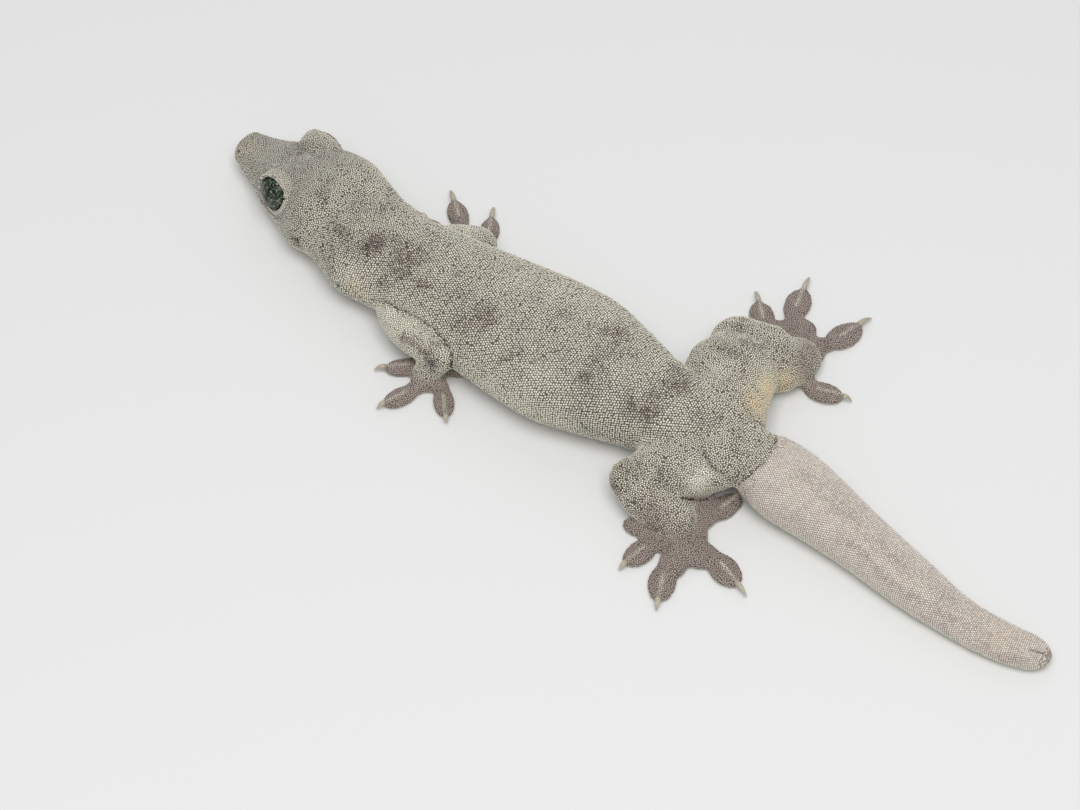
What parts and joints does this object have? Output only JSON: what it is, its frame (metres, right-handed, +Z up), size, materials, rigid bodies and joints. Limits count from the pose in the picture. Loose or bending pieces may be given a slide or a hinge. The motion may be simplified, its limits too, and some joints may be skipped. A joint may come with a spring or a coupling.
{
  "type": "giant gecko, still model",
  "caption": "Still life-size model of a Halmahera giant gecko at rest, legs spread and belly down, with large eyes, wide padded toes, small claws and a thick regrown tail.",
  "frame": {"origin": "middle of the model's outline seen from above, on the floor", "axes": "+Z up from the floor, -Y the way the head points, +X the animal's left side"},
  "size_m": [0.0896, 0.212, 0.0186],
  "materials": {
    "granular_skin": "matt, granular",
    "regrown_tail_skin": "matt, fine granular",
    "toe_skin": "matt",
    "eye": "glossy"
  },
  "bodies": {
    "root": {"head": "granular_skin", "lower_jaw": "granular_skin", "neck": "granular_skin", "chest": "granular_skin", "abdomen": "granular_skin", "pelvis": "granular_skin", "tail_base": "granular_skin", "tail_front": "regrown_tail_skin", "tail_middle": "regrown_tail_skin", "tail_tip": "regrown_tail_skin", "eye_left": "eye", "eye_right": "eye", "upper_arm_left": "granular_skin", "forearm_left": "granular_skin", "hand_left": "toe_skin", "upper_arm_right": "granular_skin", "forearm_right": "granular_skin", "hand_right": "toe_skin", "thigh_left": "granular_skin", "shin_left": "granular_skin", "foot_left": "toe_skin", "thigh_right": "granular_skin", "shin_right": "granular_skin", "foot_right": "toe_skin"}
  },
  "joints": []
}
